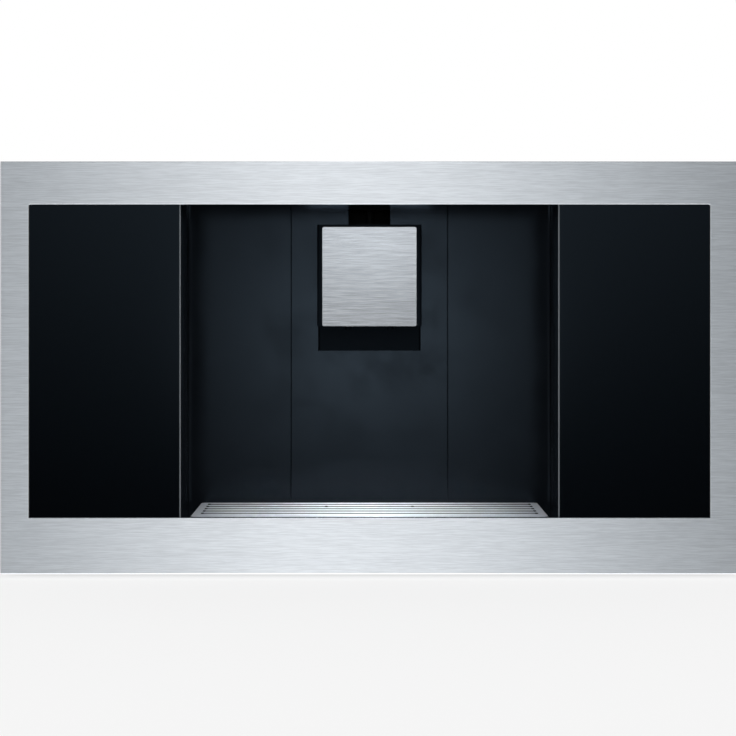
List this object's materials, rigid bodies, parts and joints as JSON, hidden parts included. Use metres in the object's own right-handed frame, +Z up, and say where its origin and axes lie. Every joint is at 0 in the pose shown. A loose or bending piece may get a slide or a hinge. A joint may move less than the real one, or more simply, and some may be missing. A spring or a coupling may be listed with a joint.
{
  "type": "built-in coffee maker",
  "caption": "Built-in coffee maker: steel-framed black glass door round an open cup niche, height-adjustable spout, lift-out drip tray and brewing works inside.",
  "frame": {"origin": "middle of the base, on the surface that the feet stand on", "axes": "+X to the right seen from the front, +Y to the back, +Z up; the door faces -Y"},
  "size_m": [0.595, 0.376, 0.3365],
  "materials": {
    "brushed_steel_front": "horizontally brushed",
    "black_glass": "polished black, printed behind",
    "black_moulding": "fine satin black",
    "gloss_black_moulding": "polished black",
    "galvanised_sheet": "galvanised",
    "black_rubber": "matt",
    "clear_plastic": "clear, lightly smoked",
    "grey_moulding": "satin grey",
    "circuit_board": "solder-resist green",
    "polished_steel": "ground and plated",
    "cast_alloy": "as cast",
    "ferrite": "sintered",
    "lamp_lens": "frosted"
  },
  "bodies": {
    "body": {"base_pan": "galvanised_sheet", "bean_drawer": "clear_plastic", "bean_shelf": "black_moulding", "brew_bay": "black_moulding", "brew_chamber": "grey_moulding", "brew_frame": "grey_moulding", "brew_motor": "polished_steel", "brew_sieve": "polished_steel", "case_screws": "polished_steel", "control_board": "circuit_board", "door_bumpers": "black_rubber", "door_magnets": "ferrite", "fascia": "black_moulding", "feed_tube": "polished_steel", "feet": "black_rubber", "grinder_housing": "grey_moulding", "grinder_motor": "polished_steel", "grounds_container": "black_moulding", "guide_housing": "black_moulding", "guide_rods": "polished_steel", "heater": "cast_alloy", "hinge_brackets": "polished_steel", "mains_inlet": "black_moulding", "niche_centre_panel": "black_moulding", "niche_light": "lamp_lens", "niche_liner": "black_moulding", "pump": "polished_steel", "pump_cradle": "black_rubber", "rear_cover": "galvanised_sheet", "side_panel_left": "galvanised_sheet", "side_panel_right": "galvanised_sheet", "tank_bay": "black_moulding", "tank_dock": "black_moulding", "tank_lid": "clear_plastic", "tank_valve": "grey_moulding", "top_panel": "galvanised_sheet", "upper_burr": "polished_steel", "water_hoses": "black_rubber", "water_tank": "clear_plastic"},
    "door": {"door_frame": "brushed_steel_front", "glass_left": "black_glass", "glass_right": "black_glass", "door_carrier": "black_moulding", "door_inner_panel": "black_moulding", "door_screws": "polished_steel", "touch_board": "circuit_board", "hinge_blocks": "polished_steel"},
    "spout": {"spout_housing": "gloss_black_moulding", "spout_plate": "brushed_steel_front", "coffee_nozzles": "gloss_black_moulding", "milk_frother": "grey_moulding", "spout_carriage": "black_moulding"},
    "tray": {"drip_tray": "gloss_black_moulding"},
    "grate": {"drip_grate": "brushed_steel_front"},
    "float": {"tray_float": "grey_moulding"},
    "grinder_rotor": {"lower_burr": "polished_steel"},
    "brew_press": {"brew_piston": "grey_moulding"},
    "brew_screw": {"brew_spindle": "polished_steel"},
    "brew_lock": {"lock_lever": "gloss_black_moulding"},
    "rocker": {"mains_switch": "gloss_black_moulding"}
  },
  "joints": [
    {"name": "door_hinge", "type": "hinge", "parent": "body", "child": "door", "pos_m": [-0.288, -0.1775, 0.004], "axis": [0, 0, -1], "range_deg": [0, 100]},
    {"name": "spout_height", "type": "slide", "parent": "body", "child": "spout", "axis": [0, 0, 1], "range_m": [-0.065, 0.008]},
    {"name": "tray_lift", "type": "slide", "parent": "body", "child": "tray", "axis": [0, 0, 1], "range_m": [0, 0.04]},
    {"name": "grate_lift", "type": "slide", "parent": "tray", "child": "grate", "axis": [0, 0, 1], "range_m": [0, 0.025]},
    {"name": "float_rise", "type": "slide", "parent": "tray", "child": "float", "axis": [0, 0, 1], "range_m": [0, 0.008]},
    {"name": "burr_spin", "type": "hinge", "parent": "body", "child": "grinder_rotor", "pos_m": [-0.2193, 0.034, 0.1162], "axis": [0, 0, 1], "continuous": true},
    {"name": "screw_turn", "type": "hinge", "parent": "body", "child": "brew_screw", "pos_m": [-0.2193, -0.042, 0.102], "axis": [0, 0, 1], "range_deg": [0, 1080]},
    {"name": "press_travel", "type": "slide", "parent": "body", "child": "brew_press", "axis": [0, 0, -1], "range_m": [0, 0.03]},
    {"name": "lock_turn", "type": "hinge", "parent": "body", "child": "brew_lock", "pos_m": [-0.2193, -0.156, 0.214], "axis": [0, 1, 0], "range_deg": [0, 90]},
    {"name": "mains_rock", "type": "hinge", "parent": "body", "child": "rocker", "pos_m": [0.2193, -0.1611, 0.2882], "axis": [1, 0, 0], "range_deg": [-10, 10]}
  ],
  "couplings": [
    {"joint": "screw_turn", "follows": "press_travel", "rad_per_m": 628.3}
  ]
}
